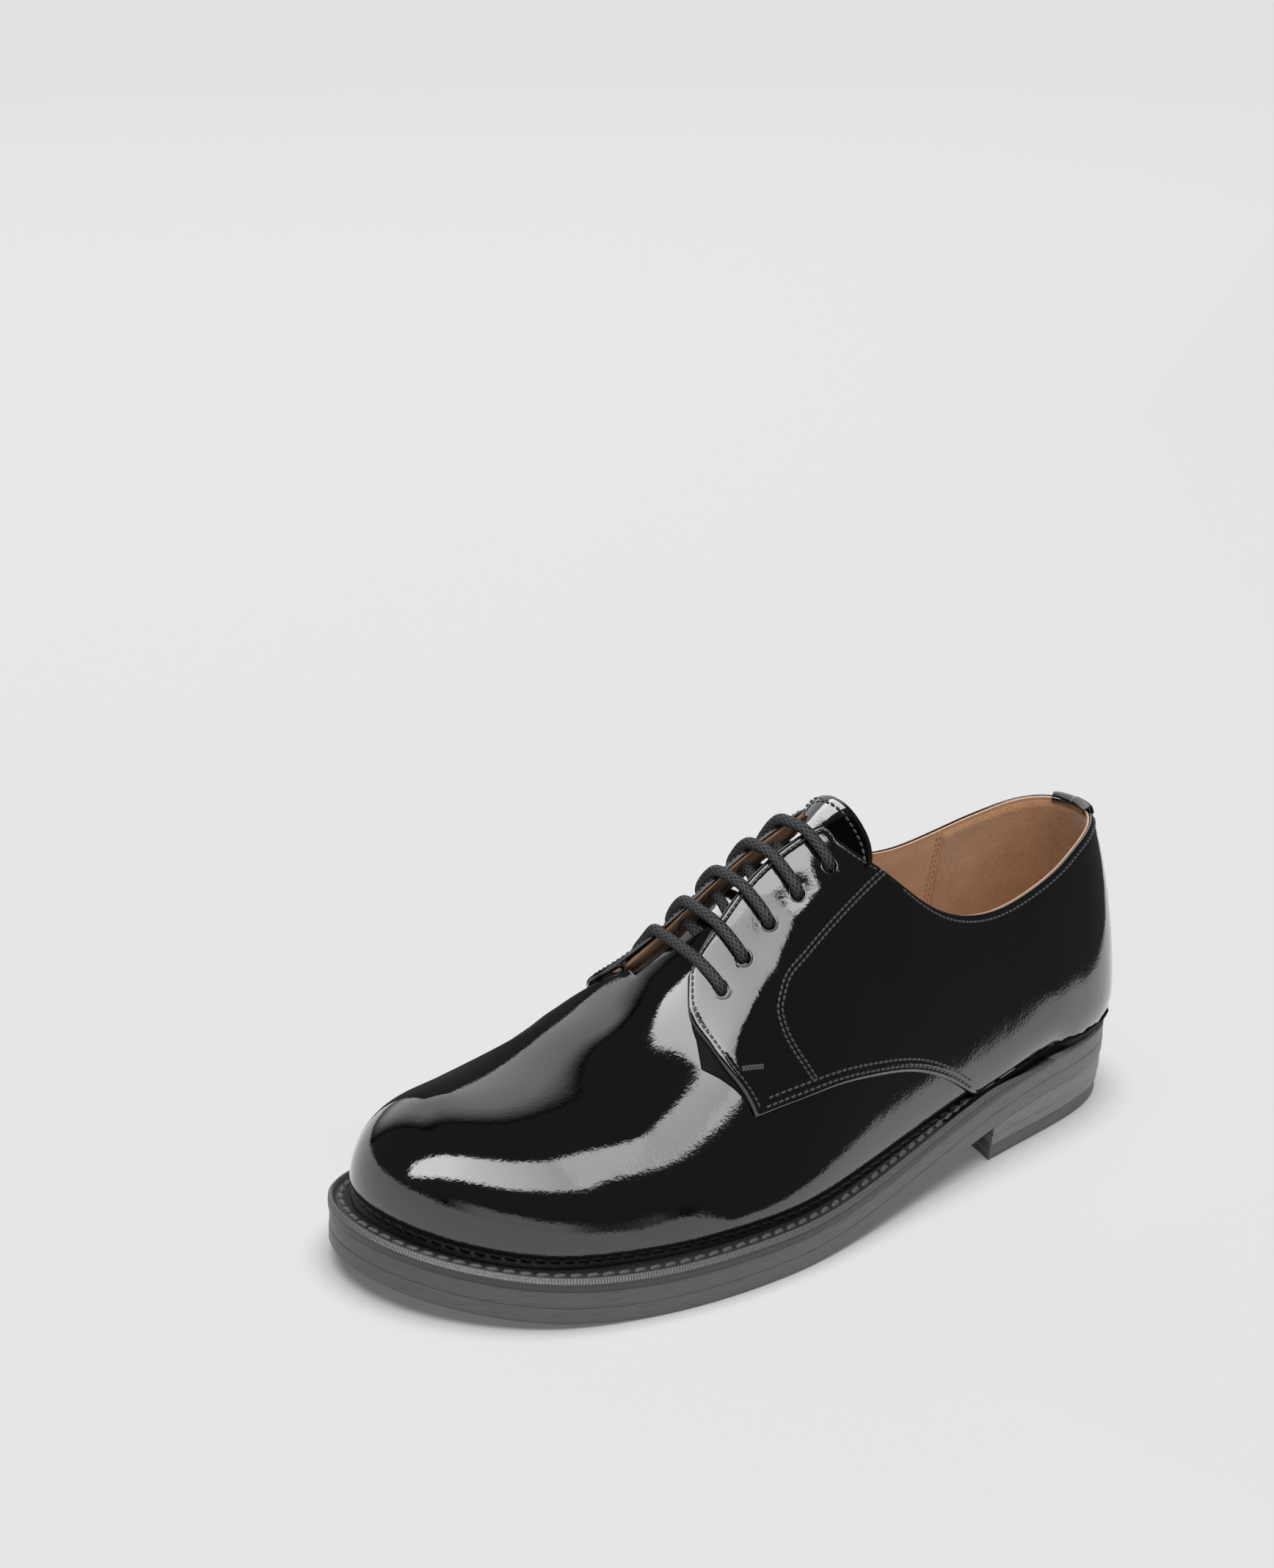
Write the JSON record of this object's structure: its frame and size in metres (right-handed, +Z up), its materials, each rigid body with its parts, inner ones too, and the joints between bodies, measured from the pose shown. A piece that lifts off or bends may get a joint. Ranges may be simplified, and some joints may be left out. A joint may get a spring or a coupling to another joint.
{
  "type": "derby shoe",
  "caption": "Left plain-toe derby shoe in black patent leather, with open lacing, a stitched welt, a double leather sole and a low stacked heel.",
  "frame": {"origin": "middle of the box in plan, on the plane that the heel and the tread stand on", "axes": "+X to the toe, +Y to the outer side of the foot, +Z up"},
  "size_m": [0.2928, 0.1074, 0.1242],
  "materials": {
    "patent_leather": "high gloss lacquer",
    "tan_leather": "matte",
    "sole_leather": "satin, waxed edge",
    "welt_leather": "satin",
    "top_rubber": "matte",
    "lace_cord": "waxed braid"
  },
  "bodies": {
    "root": {"upper": "patent_leather", "tongue": "patent_leather", "back_strap": "patent_leather", "insole": "tan_leather", "outsole": "sole_leather", "midsole": "sole_leather", "heel_lift_lower": "sole_leather", "heel_lift_upper": "sole_leather", "welt": "welt_leather", "top_piece": "top_rubber", "lace_bar_1": "lace_cord", "lace_bar_2": "lace_cord", "lace_bar_3": "lace_cord", "lace_bar_4": "lace_cord", "lace_bar_5": "lace_cord"}
  },
  "joints": []
}
